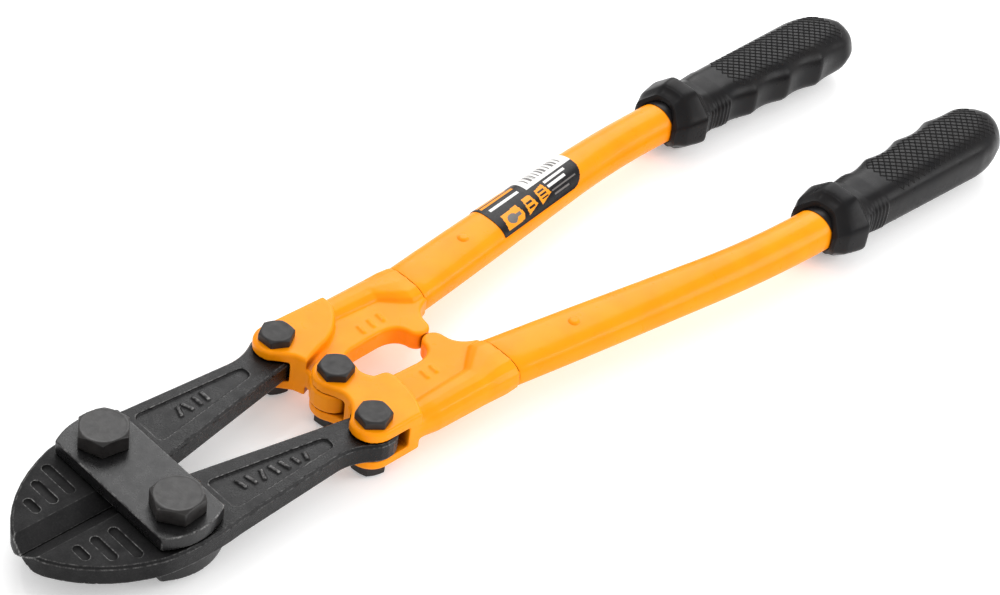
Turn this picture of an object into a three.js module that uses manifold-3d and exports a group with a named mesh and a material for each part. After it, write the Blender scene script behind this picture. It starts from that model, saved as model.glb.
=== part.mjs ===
// Bolt cutters, 450 mm class: two forged jaws tied by two straps, two cast handle heads on a
// shared centre pivot, and two bent tubular handles with moulded grips.
// Millimetres. +X runs from the jaws to the grips, +Y to handle A, +Z up. The model is drawn
// closed, about the middle plane of the jaws, with the centre pivot at x = 0, y = 0.
import * as THREE from 'three';
import { mergeVertices } from 'three/addons/utils/BufferGeometryUtils.js';
import Module from 'manifold-3d';

const wasm = await Module();
wasm.setup();

// ---- Driving dimensions ------------------------------------------------------------------
const JAW_BOLT = { x: -83.5, y: 19.4 };      // pivots of the two jaws in the straps
const LINK_BOLT = { x: -5.2, y: 25.4 };      // pivots of the jaw tails in the handle heads
const RUN_GAP = 0.3;                         // running gap between layers and round shanks

const JAW = { half: 4, tipX: -129.8, chamfer: 0.9, eyeRadius: 9.2, heelX: -88 };
const BLADE = { width: 6.3, land: 0.4, split: 0.15 };   // one bevel: width, half land, half gap
const MARK_DEPTH = 0.9;                      // recesses and grooves in the jaws

const STRAP = { frontX: -96.5, rearX: -71.3, cornerY: 28, endY: 31.9, thickness: 5.4, edge: 0.4 };
const JAW_BOLT_SIZE = { flats: 16.5, head: 6, shank: 6, nut: 4.3, crown: 8 };
const PIN_BOLT_SIZE = { flats: 11.5, head: 3.2, shank: 3.5, nut: 5, crown: 5.2 };
const TURN = {                               // how the hexagons are turned, in radians
  jaw: { A: 0.38, B: -0.4 }, link: { A: 0.05, B: -0.13 }, pivot: -0.17, nut: 0.2,
};

const EAR = { inner: 4.3, outer: 8.4, radius: 8.3, edge: 0.8 };    // fork ears and their pads
const SLAB = { half: 4, edge: 0.7 };         // middle web of a head, and the tongue of head A
const TONGUE = { radius: 8.7, holeRadius: 6.4 };        // wide hole: the linkage is opened here
const TAIL_CLEARANCE = 9.9;                  // round end of the slot behind a jaw tail
const TONGUE_CLEARANCE = 11.6;               // round end of the slot in head B for the tongue
const WEB_X = 4.7;                           // flat face that closes the tail slots

const SEAM_X = 55.6;                         // where the tube meets the head's collar
const NUB = { x: 42.6, radius: 4.6 };        // stop nubs: they meet when the jaws are closed
const AXIS = {                               // centre line of a handle, in plan
  seamY: 24.6, slope: 0.141, bendX: 150, straightX: 222, gripSlope: -0.018,
};
const TUBE = {
  endX: 306, wall: 1.5, front: [10.8, 6.1], rear: [9.1, 7.9], roundX: 190, steps: 14, sides: 16,
};
const COLLAR = [11.6, 6.9];                  // half width and half height of the collar
const TANG = { endX: 102, play: 0.35, pinX: 88, pinRadius: 2.6, pinProud: 0.7 };
const GRIP = { startX: 209, ridgeX: 222, waistX: 232, endX: 325, restZ: 14, bore: 0.35 };
const LABEL = { startX: 104, endX: 158, thickness: 0.25, gap: 0.1 };

// ---- Solids ------------------------------------------------------------------------------
/** Turns a closed three.js geometry into a manifold solid. */
function solid(geometry) {
  const bare = geometry.index ? geometry.toNonIndexed() : geometry.clone();
  bare.deleteAttribute('normal');
  bare.deleteAttribute('uv');
  const merged = mergeVertices(bare, 1e-4);
  return new wasm.Manifold(new wasm.Mesh({
    numProp: 3,
    vertProperties: new Float32Array(merged.attributes.position.array),
    triVerts: new Uint32Array(merged.index.array),
  }));
}

/** Turns a manifold solid back into a three.js geometry. */
function geometryOf(body) {
  const mesh = body.getMesh();
  const geometry = new THREE.BufferGeometry();
  geometry.setAttribute('position', new THREE.BufferAttribute(mesh.vertProperties, 3));
  geometry.setIndex(new THREE.BufferAttribute(mesh.triVerts, 1));
  geometry.computeVertexNormals();
  return geometry;
}

/** Joins any number of solids. */
function join(...bodies) {
  return bodies.reduce((whole, body) => whole.add(body));
}

/** Takes any number of solids away from the first. */
function cut(body, ...tools) {
  return tools.reduce((rest, tool) => rest.subtract(tool), body);
}

/** The same solid on the other side of the plane y = 0 or z = 0. */
function mirrored(body, axis) {
  return body.mirror(axis === 'y' ? [0, 1, 0] : [0, 0, 1]);
}

/** A flat plate from z0 to z1 with its edges broken by a chamfer. */
function plate(shape, z0, z1, chamfer = 0, curveSegments = 7) {
  const depth = z1 - z0 - 2 * chamfer;
  const geometry = new THREE.ExtrudeGeometry(shape, {
    depth,
    curveSegments,
    bevelEnabled: chamfer > 0,
    bevelSegments: 1,
    bevelSize: chamfer,
    bevelThickness: chamfer,
    bevelOffset: -chamfer,
  });
  geometry.translate(0, 0, z0 + chamfer);
  return solid(geometry);
}

/** An upright round bar. */
function bar(x, y, radius, z0, z1, sides = 24) {
  const geometry = new THREE.CylinderGeometry(radius, radius, z1 - z0, sides);
  geometry.rotateX(Math.PI / 2);
  geometry.translate(x, y, (z0 + z1) / 2);
  return solid(geometry);
}

/** A closed outline whose corners [x, y, radius] are rounded. */
function roundedOutline(corners) {
  const shape = new THREE.Shape();
  const count = corners.length;
  corners.forEach(([x, y, radius = 0], i) => {
    const here = new THREE.Vector2(x, y);
    const before = new THREE.Vector2(...corners[(i + count - 1) % count].slice(0, 2));
    const after = new THREE.Vector2(...corners[(i + 1) % count].slice(0, 2));
    const start = before.sub(here).setLength(radius).add(here);
    const end = after.sub(here).setLength(radius).add(here);
    if (i === 0) {
      shape.moveTo(start.x, start.y);
    } else {
      shape.lineTo(start.x, start.y);
    }
    if (radius > 0) {
      shape.quadraticCurveTo(x, y, end.x, end.y);
    }
  });
  shape.closePath();
  return shape;
}

/** A long bar of oval section. Each station is [x, y, half width, half height, squareness]. */
function ovalBar(stations, sides) {
  const last = stations.length - 1;
  const geometry = new THREE.CylinderGeometry(1, 1, 1, sides, last);
  const point = geometry.attributes.position;
  for (let i = 0; i < point.count; i += 1) {
    const [x, y, wide, high, square = 2] = stations[Math.round((point.getY(i) + 0.5) * last)];
    const swell = (value) => Math.sign(value) * Math.abs(value) ** (2 / square);
    point.setXYZ(i, x, y + wide * swell(point.getX(i)), -high * swell(point.getZ(i)));
  }
  return solid(geometry);
}

// ---- Handle centre line ------------------------------------------------------------------
/** Distance of a handle's centre line from the plane y = 0. */
function axisY(x) {
  const bent = AXIS.straightX - AXIS.bendX;
  const turn = THREE.MathUtils.clamp((x - AXIS.bendX) / bent, 0, 1);
  const lost = (AXIS.slope - AXIS.gripSlope) * (turn * turn * bent / 2 + Math.max(x - AXIS.straightX, 0));
  return AXIS.seamY + AXIS.slope * (x - SEAM_X) - lost;
}

/** Half width and half height of the tube's outside. */
function tubeSize(x) {
  const k = THREE.MathUtils.smoothstep(x, SEAM_X, TUBE.roundX);
  return [
    THREE.MathUtils.lerp(TUBE.front[0], TUBE.rear[0], k),
    THREE.MathUtils.lerp(TUBE.front[1], TUBE.rear[1], k),
  ];
}

/** Stations of a bar that follows the tube, offset from its outside. */
function tubeStations(x0, x1, count, offset) {
  return Array.from({ length: count + 1 }, (_, i) => {
    const x = x0 + (x1 - x0) * i / count;
    const [wide, high] = tubeSize(x);
    const square = THREE.MathUtils.lerp(2.7, 2, THREE.MathUtils.smoothstep(x, SEAM_X, TUBE.roundX));
    return [x, axisY(x), wide + offset, high + offset, square];
  });
}

// ---- Jaws --------------------------------------------------------------------------------
/** Outline of jaw A: nose, outer edge, tail eye, inner edge and blade. */
function jawOutline() {
  const { x, y } = LINK_BOLT;
  const r = JAW.eyeRadius;
  const shape = new THREE.Shape();
  shape.moveTo(JAW.tipX, BLADE.split);
  shape.lineTo(JAW.heelX, BLADE.split);
  shape.lineTo(-66, 5.2);
  shape.lineTo(x - 2, y - r + 0.2);
  shape.absarc(x, y, r, THREE.MathUtils.degToRad(-100), THREE.MathUtils.degToRad(125), false);
  shape.quadraticCurveTo(-17, 28.7, -24, 29.2);
  shape.lineTo(-66, 31.9);
  shape.quadraticCurveTo(-84, 34.2, -97, 31.6);
  shape.quadraticCurveTo(-117.5, 25, -127.4, 9);
  shape.quadraticCurveTo(-129.5, 5, JAW.tipX, BLADE.split);
  return shape;
}

/** Round-ended groove across the blade. */
function grooveOutline(x, y0, y1, width) {
  const r = width / 2;
  const shape = new THREE.Shape();
  shape.absarc(x, y1 - r, r, 0, Math.PI, false);
  shape.absarc(x, y0 + r, r, Math.PI, 2 * Math.PI, false);
  return shape;
}

/** Long three-cornered recess in the jaw's arm. */
function recessOutline() {
  return roundedOutline([
    [-65.8, 11.6, 3], [-21, 19.2, 2.2], [-21, 24.4, 2.2], [-65.8, 27.2, 3],
  ]);
}

/** Forged jaw on the +Y side. */
function jaw() {
  const { half } = JAW;
  const body = plate(jawOutline(), -half, half, JAW.chamfer);
  const wedge = new THREE.Shape([
    new THREE.Vector2(-2, BLADE.land),
    new THREE.Vector2(BLADE.split, BLADE.land),
    new THREE.Vector2(BLADE.width, half),
    new THREE.Vector2(BLADE.width, half + 2),
    new THREE.Vector2(-2, half + 2),
  ]);
  const bevel = new THREE.ExtrudeGeometry(wedge, { depth: 46, bevelEnabled: false });
  bevel.applyMatrix4(new THREE.Matrix4().makeBasis(
    new THREE.Vector3(0, 1, 0), new THREE.Vector3(0, 0, 1), new THREE.Vector3(1, 0, 0),
  ));
  bevel.translate(JAW.tipX - 4, 0, 0);
  const marks = join(
    plate(recessOutline(), half - MARK_DEPTH, half + 1, 0, 4),
    plate(grooveOutline(-102.6, 9.9, 25.6, 3.3), half - MARK_DEPTH, half + 1, 0, 5),
    plate(grooveOutline(-109.5, 9.6, 21.8, 3.1), half - MARK_DEPTH, half + 1, 0, 5),
    plate(grooveOutline(-116.2, 9.4, 16.6, 2.9), half - MARK_DEPTH, half + 1, 0, 5),
    solid(bevel),
  );
  return cut(
    body, marks, mirrored(marks, 'z'),
    bar(JAW_BOLT.x, JAW_BOLT.y, JAW_BOLT_SIZE.shank + RUN_GAP, -half - 1, half + 1),
    bar(LINK_BOLT.x, LINK_BOLT.y, PIN_BOLT_SIZE.shank + RUN_GAP, -half - 1, half + 1),
  );
}

// ---- Straps ------------------------------------------------------------------------------
/** Plate that ties the two jaws together, above them. */
function strap() {
  const middle = (STRAP.frontX + STRAP.rearX) / 2;
  const bulge = 2 * STRAP.endY - STRAP.cornerY;
  const shape = new THREE.Shape();
  shape.moveTo(STRAP.frontX, -STRAP.cornerY);
  shape.quadraticCurveTo(middle, -bulge, STRAP.rearX, -STRAP.cornerY);
  shape.lineTo(STRAP.rearX, STRAP.cornerY);
  shape.quadraticCurveTo(middle, bulge, STRAP.frontX, STRAP.cornerY);
  shape.closePath();
  const z0 = JAW.half + RUN_GAP;
  const body = plate(shape, z0, z0 + STRAP.thickness, STRAP.edge, 14);
  const radius = JAW_BOLT_SIZE.shank + RUN_GAP;
  return cut(
    body,
    bar(JAW_BOLT.x, JAW_BOLT.y, radius, z0 - 1, z0 + STRAP.thickness + 1),
    bar(JAW_BOLT.x, -JAW_BOLT.y, radius, z0 - 1, z0 + STRAP.thickness + 1),
  );
}

// ---- Bolts and nuts ----------------------------------------------------------------------
/** Hexagon block with one round-chamfered face, between z0 and z1; the chamfer is at z1. */
function hexBlock(x, y, flats, crown, z0, z1, turn) {
  const corner = flats / Math.sqrt(3);
  const hex = new THREE.CylinderGeometry(corner, corner, Math.abs(z1 - z0), 6);
  hex.rotateX(Math.PI / 2);
  hex.rotateZ(turn);
  const fall = (corner - crown) * 0.55;
  const height = Math.abs(z1 - z0);
  const dome = new THREE.LatheGeometry([
    new THREE.Vector2(0, -height / 2 - 1),
    new THREE.Vector2(corner + 1, -height / 2 - 1),
    new THREE.Vector2(corner + 1, height / 2 - fall - 0.55),
    new THREE.Vector2(crown, height / 2),
    new THREE.Vector2(0, height / 2),
  ], 24);
  dome.rotateX(z1 > z0 ? Math.PI / 2 : -Math.PI / 2);
  const block = solid(hex).intersect(solid(dome));
  return block.translate([x, y, (z0 + z1) / 2]);
}

/** Hex bolt: head above seatZ, shank down to endZ. */
function bolt(x, y, size, seatZ, endZ, turn) {
  return join(
    hexBlock(x, y, size.flats, size.crown, seatZ, seatZ + size.head, turn),
    bar(x, y, size.shank, endZ, seatZ + 1),
  );
}

/** Nut below seatZ, bored for the shank. */
function nut(x, y, size, seatZ, turn) {
  const block = hexBlock(x, y, size.flats, size.crown, seatZ, seatZ - size.nut, turn);
  return cut(block, bar(x, y, size.shank + RUN_GAP / 2, seatZ - size.nut - 1, seatZ + 1));
}

// ---- Handle heads ------------------------------------------------------------------------
/** Inner edge shared by both heads, from x = 13 back to the collar, with the stop nub. */
function drawInnerEdge(shape) {
  shape.lineTo(29.5, 9.6);
  shape.quadraticCurveTo(36.6, 9.4, NUB.x - NUB.radius, NUB.radius + BLADE.split);
  shape.absarc(NUB.x, NUB.radius + BLADE.split, NUB.radius, Math.PI, 2 * Math.PI, false);
  shape.quadraticCurveTo(47.6, 10.8, SEAM_X, 13.4);
}

/** Middle web of head A with the tongue that reaches the centre pivot. */
function tongueOutline() {
  const shape = new THREE.Shape();
  shape.absarc(0, 0, TONGUE.radius, 2.2, 2 * Math.PI + 0.1, false);
  shape.quadraticCurveTo(9.2, 8.2, 15, 9);
  drawInnerEdge(shape);
  shape.lineTo(SEAM_X, 35);
  shape.lineTo(WEB_X, 33.6);
  shape.lineTo(-6.6, 16.2);
  shape.lineTo(-4.6, 9.6);
  shape.closePath();
  return shape;
}

/** Middle web of head B, before the slot for the tongue is cut. */
function webOutline() {
  const shape = new THREE.Shape();
  shape.moveTo(2, 9);
  shape.lineTo(15, 9);
  drawInnerEdge(shape);
  shape.lineTo(SEAM_X, 35);
  shape.lineTo(WEB_X, 33.6);
  shape.closePath();
  return shape;
}

/** Ear pad of head A: round the link bolt, with a hollow edge that clears head B's ear. */
function padOutlineA() {
  const { x, y } = LINK_BOLT;
  const shape = new THREE.Shape();
  shape.absarc(x, y, EAR.radius, Math.PI / 2, Math.PI + 0.5, false);
  shape.quadraticCurveTo(-7.6, 16.6, -6, 14.2);
  shape.lineTo(-4.5, 10);
  shape.quadraticCurveTo(1.5, 12.6, 8.5, 14.4);
  shape.quadraticCurveTo(19, 19, 22.8, 28.8);
  shape.lineTo(22.8, 33.2);
  shape.closePath();
  return shape;
}

/** Ear pad of head B: covers both the link bolt and the centre pivot. Drawn on the +Y side. */
function padOutlineB() {
  const { x, y } = LINK_BOLT;
  const shape = new THREE.Shape();
  shape.absarc(x, y, EAR.radius, Math.PI / 2, Math.PI + 0.55, false);
  shape.quadraticCurveTo(-5.2, 16.4, -5, 10.5);
  const left = Math.PI - 0.59;
  shape.quadraticCurveTo(-5.2, 7.6, EAR.radius * Math.cos(left), EAR.radius * Math.sin(left));
  shape.absarc(0, 0, EAR.radius, left, 2 * Math.PI + 0.45, false);
  shape.quadraticCurveTo(7.2, 6, 9.5, 9);
  shape.lineTo(13, 9.6);
  shape.quadraticCurveTo(15.6, 10.4, 15.4, 14);
  shape.quadraticCurveTo(15.2, 26, 9.8, 33.6);
  shape.closePath();
  return shape;
}

/** Room that the jaw tail sweeps between the ears. */
function tailSlot() {
  const { x, y } = LINK_BOLT;
  const shape = new THREE.Shape();
  shape.absarc(x, y, TAIL_CLEARANCE, -1.8, 0, false);
  shape.lineTo(WEB_X, 60);
  shape.lineTo(-60, 60);
  shape.lineTo(-60, 4);
  shape.closePath();
  return plate(shape, -EAR.inner, EAR.inner);
}

/** Raised tube-like ridge along the head's outer side, the collar, and the tang in the tube. */
function spine() {
  const [wide, high] = COLLAR;
  const ridge = ovalBar([
    [6, 28.4, 5, 5.2, 2.4], [18, 29, 6.2, 6.3, 2.4], [40, 28.6, 7, 6.6, 2.4],
    [45, 26.5, 9.4, 6.8, 2.6], [50, 24.6, wide, high, 2.7],
    [SEAM_X - RUN_GAP, 24.6, wide - 0.3, high - 0.3, 2.7],
  ], 16);
  const offset = -TUBE.wall - TANG.play;
  const tang = ovalBar(tubeStations(SEAM_X - 3, TANG.endX, 4, offset), 16);
  return join(ridge, tang);
}

/** Casting on the +Y side, before its slots: middle web, two pads, ridge, collar and tang. */
function casting(webShape, padShape) {
  const web = plate(webShape, -SLAB.half, SLAB.half, SLAB.edge);
  const pads = plate(padShape, -EAR.outer, EAR.outer, EAR.edge);
  return join(web, pads, spine());
}

/** Bores for the link bolt, the centre pivot and the tang pin. */
function headBores(pivotRadius) {
  const far = EAR.outer + 1;
  return join(
    bar(LINK_BOLT.x, LINK_BOLT.y, PIN_BOLT_SIZE.shank + RUN_GAP, -far, far),
    bar(0, 0, pivotRadius, -far, far),
    bar(TANG.pinX, axisY(TANG.pinX), TANG.pinRadius + RUN_GAP, -far, far, 16),
  );
}

/** Head A, with the tongue. */
function headWithTongue() {
  return cut(casting(tongueOutline(), padOutlineA()), tailSlot(), headBores(TONGUE.holeRadius));
}

/** Head B, with the fork, drawn on the +Y side. */
function headWithFork() {
  const opening = new THREE.Shape();
  opening.absarc(0, 0, TONGUE_CLEARANCE, 0, Math.PI, false);
  opening.lineTo(-TONGUE_CLEARANCE, -20);
  opening.lineTo(TONGUE_CLEARANCE, -20);
  opening.closePath();
  const tongueSlot = plate(opening, -EAR.inner, EAR.inner);
  const bores = headBores(PIN_BOLT_SIZE.shank + RUN_GAP);
  return cut(casting(webOutline(), padOutlineB()), tailSlot(), tongueSlot, bores);
}

// ---- Handles -----------------------------------------------------------------------------
/** Solid of the tube's outside, grown by offset and run past both ends by overrun. */
function tubeSkin(offset, overrun) {
  return ovalBar(tubeStations(SEAM_X - overrun, TUBE.endX + overrun, TUBE.steps, offset), TUBE.sides);
}

/** Hollow bent tube on the +Y side. */
function tube() {
  const outside = tubeSkin(0, 0);
  const inside = tubeSkin(-TUBE.wall, 1);
  const far = TUBE.front[1] + 1;
  const pinHole = bar(TANG.pinX, axisY(TANG.pinX), TANG.pinRadius + RUN_GAP, -far, far, 16);
  return cut(outside, inside, pinHole);
}

/** Pin through the tube and the tang, with low domed ends. */
function tangPin() {
  const high = tubeSize(TANG.pinX)[1];
  const half = high + TANG.pinProud;
  const r = TANG.pinRadius;
  const pin = new THREE.LatheGeometry([
    new THREE.Vector2(0, -half),
    new THREE.Vector2(r * 0.6, -half + 0.15),
    new THREE.Vector2(r, -half + 0.7),
    new THREE.Vector2(r, half - 0.7),
    new THREE.Vector2(r * 0.6, half - 0.15),
    new THREE.Vector2(0, half),
  ], 16);
  pin.rotateX(Math.PI / 2);
  pin.translate(TANG.pinX, axisY(TANG.pinX), 0);
  return solid(pin);
}

/** Moulded grip on the +Y side: flange, waist, finger waves on the inner side, round end. */
function grip() {
  const stations = [
    [GRIP.startX, 10.6, 10.6, 10],
    [GRIP.startX + 4, 13.2, 13, 12.4],
    [GRIP.ridgeX, 15.8, 15.4, GRIP.restZ],
    [GRIP.ridgeX + 2, 14, 14, 12],
    [GRIP.waistX, 11.8, 12.6, 9.8],
  ];
  const bodyLength = GRIP.endX - GRIP.waistX;
  const body = 18;
  for (let i = 1; i <= body; i += 1) {
    const t = i / body;
    const fade = Math.sqrt(Math.max(1 - Math.max((t - 0.8) / 0.2, 0) ** 2, 0.02));
    const wave = 0.9 * Math.sin(t * 4.4 * 2 * Math.PI) * (t < 0.82 ? 1 : 0);
    stations.push([
      GRIP.waistX + bodyLength * t,
      (11.8 + 3.8 * t) * fade,
      (12.6 + 1.4 * t) * fade + wave,
      (9.8 + 0.9 * t) * (0.35 + 0.65 * fade),
    ]);
  }
  const outside = ovalBar(stations.map(([x, outer, inner, high]) => [
    x, axisY(x) + (outer - inner) / 2, (outer + inner) / 2, high, 2.6,
  ]), 16);
  const bore = ovalBar(tubeStations(GRIP.startX - 1, TUBE.endX + 1, 10, GRIP.bore), 24);
  return cut(outside, bore);
}

/** Thin label wrapped over the top of tube A. */
function label() {
  const shell = cut(tubeSkin(LABEL.gap + LABEL.thickness, 0), tubeSkin(LABEL.gap, 1));
  const middle = (LABEL.startX + LABEL.endX) / 2;
  const top = new THREE.BoxGeometry(LABEL.endX - LABEL.startX, 40, 20);
  top.translate(middle, axisY(middle), 10);
  return shell.intersect(solid(top));
}

// ---- Assembly ----------------------------------------------------------------------------
const FORGED = { color: 0x3c3b3c, roughness: 0.55, metalness: 0.6 };
const BLACK_STEEL = { color: 0x2e2d2c, roughness: 0.5, metalness: 0.6 };
const ORANGE = { color: 0xffa31a, roughness: 0.35, metalness: 0.05 };
const RUBBER = { color: 0x2a2a2a, roughness: 0.6, metalness: 0 };
const LABEL_FILM = { color: 0x161412, roughness: 0.4, metalness: 0 };

const assembly = new THREE.Group();

/** Adds one named piece to the assembly. */
function addPiece(name, body, look) {
  const mesh = new THREE.Mesh(geometryOf(body), new THREE.MeshStandardMaterial(look));
  mesh.name = name;
  assembly.add(mesh);
}

const strapTop = JAW.half + RUN_GAP + STRAP.thickness;
const strapPlate = strap();
addPiece('top_strap', strapPlate, BLACK_STEEL);
addPiece('bottom_strap', mirrored(strapPlate, 'z'), BLACK_STEEL);

const pieces = { A: 1, B: -1 };
const jawBoltEnd = -strapTop - JAW_BOLT_SIZE.nut + 0.5;
const linkBoltEnd = -EAR.outer - PIN_BOLT_SIZE.nut + 0.6;
const jawBody = jaw();
const tubeBody = tube();
const pinBody = tangPin();
const gripBody = grip();
const heads = { A: headWithTongue(), B: mirrored(headWithFork(), 'y') };
for (const [side, sign] of Object.entries(pieces)) {
  const place = (body) => (sign > 0 ? body : mirrored(body, 'y'));
  const jawY = sign * JAW_BOLT.y;
  const linkY = sign * LINK_BOLT.y;
  const jawBolt = bolt(JAW_BOLT.x, jawY, JAW_BOLT_SIZE, strapTop, jawBoltEnd, TURN.jaw[side]);
  const linkBolt = bolt(LINK_BOLT.x, linkY, PIN_BOLT_SIZE, EAR.outer, linkBoltEnd, TURN.link[side]);
  addPiece(`jaw_${side}`, place(jawBody), FORGED);
  addPiece(`jaw_bolt_${side}`, jawBolt, BLACK_STEEL);
  addPiece(`jaw_nut_${side}`, nut(JAW_BOLT.x, jawY, JAW_BOLT_SIZE, -strapTop, TURN.nut), BLACK_STEEL);
  addPiece(`handle_head_${side}`, heads[side], ORANGE);
  addPiece(`link_bolt_${side}`, linkBolt, BLACK_STEEL);
  addPiece(`link_nut_${side}`, nut(LINK_BOLT.x, linkY, PIN_BOLT_SIZE, -EAR.outer, TURN.nut), BLACK_STEEL);
  addPiece(`handle_tube_${side}`, place(tubeBody), ORANGE);
  addPiece(`tang_pin_${side}`, place(pinBody), ORANGE);
  addPiece(`grip_${side}`, place(gripBody), RUBBER);
}
const pivotBolt = bolt(0, 0, PIN_BOLT_SIZE, EAR.outer, linkBoltEnd, TURN.pivot);
addPiece('pivot_bolt', pivotBolt, BLACK_STEEL);
addPiece('pivot_nut', nut(0, 0, PIN_BOLT_SIZE, -EAR.outer, TURN.nut), BLACK_STEEL);
addPiece('label', label(), LABEL_FILM);

// The reference point is the middle of the object's footprint, on the surface it lies on.
const extent = new THREE.Box3().setFromObject(assembly);
const centre = extent.getCenter(new THREE.Vector3());
assembly.position.set(-centre.x, -centre.y, -extent.min.z);

export default assembly;
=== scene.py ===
"""Bolt cutters: the finished looks of every piece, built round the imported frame.

Lengths in the tables below are millimetres. x runs from the centre pivot towards the grips,
y towards handle A, and z up from the middle plane of the jaws. at() turns such a place into
metres in the shared frame.
"""
import math

import bmesh
import bpy
from mathutils import Euler, Matrix, Vector


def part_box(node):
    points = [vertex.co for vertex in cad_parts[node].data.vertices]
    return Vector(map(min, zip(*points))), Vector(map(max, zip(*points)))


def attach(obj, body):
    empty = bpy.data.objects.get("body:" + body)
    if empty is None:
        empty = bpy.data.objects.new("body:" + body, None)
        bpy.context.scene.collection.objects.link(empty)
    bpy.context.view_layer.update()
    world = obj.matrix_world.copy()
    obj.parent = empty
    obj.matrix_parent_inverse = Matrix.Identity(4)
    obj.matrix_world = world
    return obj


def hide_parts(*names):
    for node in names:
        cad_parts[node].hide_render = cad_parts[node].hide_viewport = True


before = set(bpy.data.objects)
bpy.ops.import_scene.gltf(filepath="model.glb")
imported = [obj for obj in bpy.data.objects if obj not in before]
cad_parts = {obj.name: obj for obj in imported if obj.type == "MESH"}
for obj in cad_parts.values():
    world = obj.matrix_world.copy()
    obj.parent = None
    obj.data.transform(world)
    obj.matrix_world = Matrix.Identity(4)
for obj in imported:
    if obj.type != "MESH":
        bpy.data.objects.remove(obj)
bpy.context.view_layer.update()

MM = 0.001
SIDES = {"A": 1, "B": -1}          # handle A is on the +y side


def middle(node):
    """Middle of a CAD piece's box."""
    low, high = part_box(node)
    return (low + high) / 2


ORIGIN = Vector((middle("pivot_bolt").x, middle("pivot_bolt").y, middle("jaw_A").z))


def at(x, y, z):
    """A place in the shared frame, from millimetres about the centre pivot."""
    return ORIGIN + MM * Vector((x, y, z))


def from_pivot(place):
    """The other way round: millimetres about the centre pivot."""
    return (place - ORIGIN) / MM


# ---- Driving dimensions, in millimetres ---------------------------------------------------
STRAP = {"corner_y": 28.0, "edge": 0.45, "cuts": 15}
BOLT_CHAMFER_SLOPE = 0.55          # fall of a bolt head's crown for each millimetre outwards
JAW_BOLT = {"flats": 16.5, "crown": 8.1, "shank": 6.0, "head": 6.0}
PIN_BOLT = {"flats": 11.5, "crown": 5.45, "shank": 3.5, "head": 3.2}
BOLT_EDGE = 0.3
BORE_PLAY = {"strap": 0.15, "nut": 0.12}
GRAIN = {"jaw": 0.315, "strap": 0.3, "bolt": 0.25, "head": 0.42}     # mesh size of a forged skin

SEAM_X = 55.6                      # the tube meets the cast head here
AXIS = {"seam_y": 24.6, "slope": 0.141, "bend_x": 150, "straight_x": 222, "grip_slope": -0.018}
TUBE = {"end_x": 306, "wall": 1.5, "front": (10.8, 6.1), "rear": (9.1, 7.9), "round_x": 190}
TUBE_SQUARENESS = (2.7, 2.0)       # flattened oval at the seam, round at the grip

GRIP = {"front_x": 207.5, "end_x": 322.4, "bore": 0.35}
RIBS = {"start_x": 226.5, "pitch": 2.05, "count": 7, "height": 0.4}
WAVES = {                          # the finger hollows, and how long they take to fade in and out
    "pitch": 20.2, "height": 1.7, "first_x": 234.3, "last_x": 318, "fade_in": 9, "fade_out": 8,
}
NET = {"start_x": 247, "end_x": 315, "half_width": 9.6, "along": 20, "across": 6, "bar": 0.72}

LABEL = {"start_x": 103.6, "end_x": 154.4, "lift": 0.12, "thickness": 0.16, "corner": 8.0}


def smooth(t):
    """Eased step from 0 to 1."""
    t = min(max(t, 0), 1)
    return t * t * (3 - 2 * t)


def mix(a, b, t):
    """Value between a, at 0, and b, at 1."""
    return a + (b - a) * t


def axis_y(x):
    """Distance of a handle's centre line from the middle of the tool."""
    bent = AXIS["straight_x"] - AXIS["bend_x"]
    turn = min(max((x - AXIS["bend_x"]) / bent, 0), 1)
    straight = max(x - AXIS["straight_x"], 0)
    lost = (AXIS["slope"] - AXIS["grip_slope"]) * (turn * turn * bent / 2 + straight)
    return AXIS["seam_y"] + AXIS["slope"] * (x - SEAM_X) - lost


def oval(angle, wide, high, squareness):
    """Point of a squared oval: 2 is an ellipse, more is flatter on top."""
    c, s = math.cos(angle), math.sin(angle)
    power = 2 / squareness
    return (wide * math.copysign(abs(c) ** power, c), high * math.copysign(abs(s) ** power, s))


def tube_point(x, angle, offset=0.0):
    """Point on the tube's outside: sideways from the centre line, and up."""
    k = smooth((x - SEAM_X) / (TUBE["round_x"] - SEAM_X))
    wide = mix(TUBE["front"][0], TUBE["rear"][0], k) + offset
    high = mix(TUBE["front"][1], TUBE["rear"][1], k) + offset
    return oval(angle, wide, high, mix(*TUBE_SQUARENESS, k))


# ---- Workbench ----------------------------------------------------------------------------
def put_down():
    """Leaves edit mode with nothing selected."""
    if bpy.context.object and bpy.context.object.mode != "OBJECT":
        bpy.ops.object.mode_set(mode="OBJECT")
    bpy.ops.object.select_all(action="DESELECT")


def take(piece):
    """Selects one piece and makes it the active one."""
    put_down()
    piece.select_set(True)
    bpy.context.view_layer.objects.active = piece


def edit(piece, kind="VERT"):
    """Edit mode with everything in the piece selected."""
    take(piece)
    bpy.ops.object.mode_set(mode="EDIT")
    bpy.ops.mesh.select_mode(type=kind)
    bpy.ops.mesh.select_all(action="SELECT")


def pick(piece, kind, wanted):
    """In edit mode, selects only the vertices, edges or faces that are wanted."""
    bpy.ops.mesh.select_mode(type=kind)
    bpy.ops.mesh.select_all(action="DESELECT")
    mesh = bmesh.from_edit_mesh(piece.data)
    for part in {"VERT": mesh.verts, "EDGE": mesh.edges, "FACE": mesh.faces}[kind]:
        if wanted(part):
            part.select_set(True)
    mesh.select_flush_mode()
    bmesh.update_edit_mesh(piece.data)


def settle(piece, name):
    """Names a new piece and puts its place into its mesh."""
    take(piece)
    piece.name = name
    piece.data.name = name
    bpy.ops.object.transform_apply(location=True, rotation=True, scale=True)
    return piece


def block(name, low, high):
    """Box between two corners, in millimetres."""
    put_down()
    low, high = at(*low), at(*high)
    bpy.ops.mesh.primitive_cube_add(size=1, location=(low + high) / 2, scale=high - low)
    return settle(bpy.context.object, name)


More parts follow.
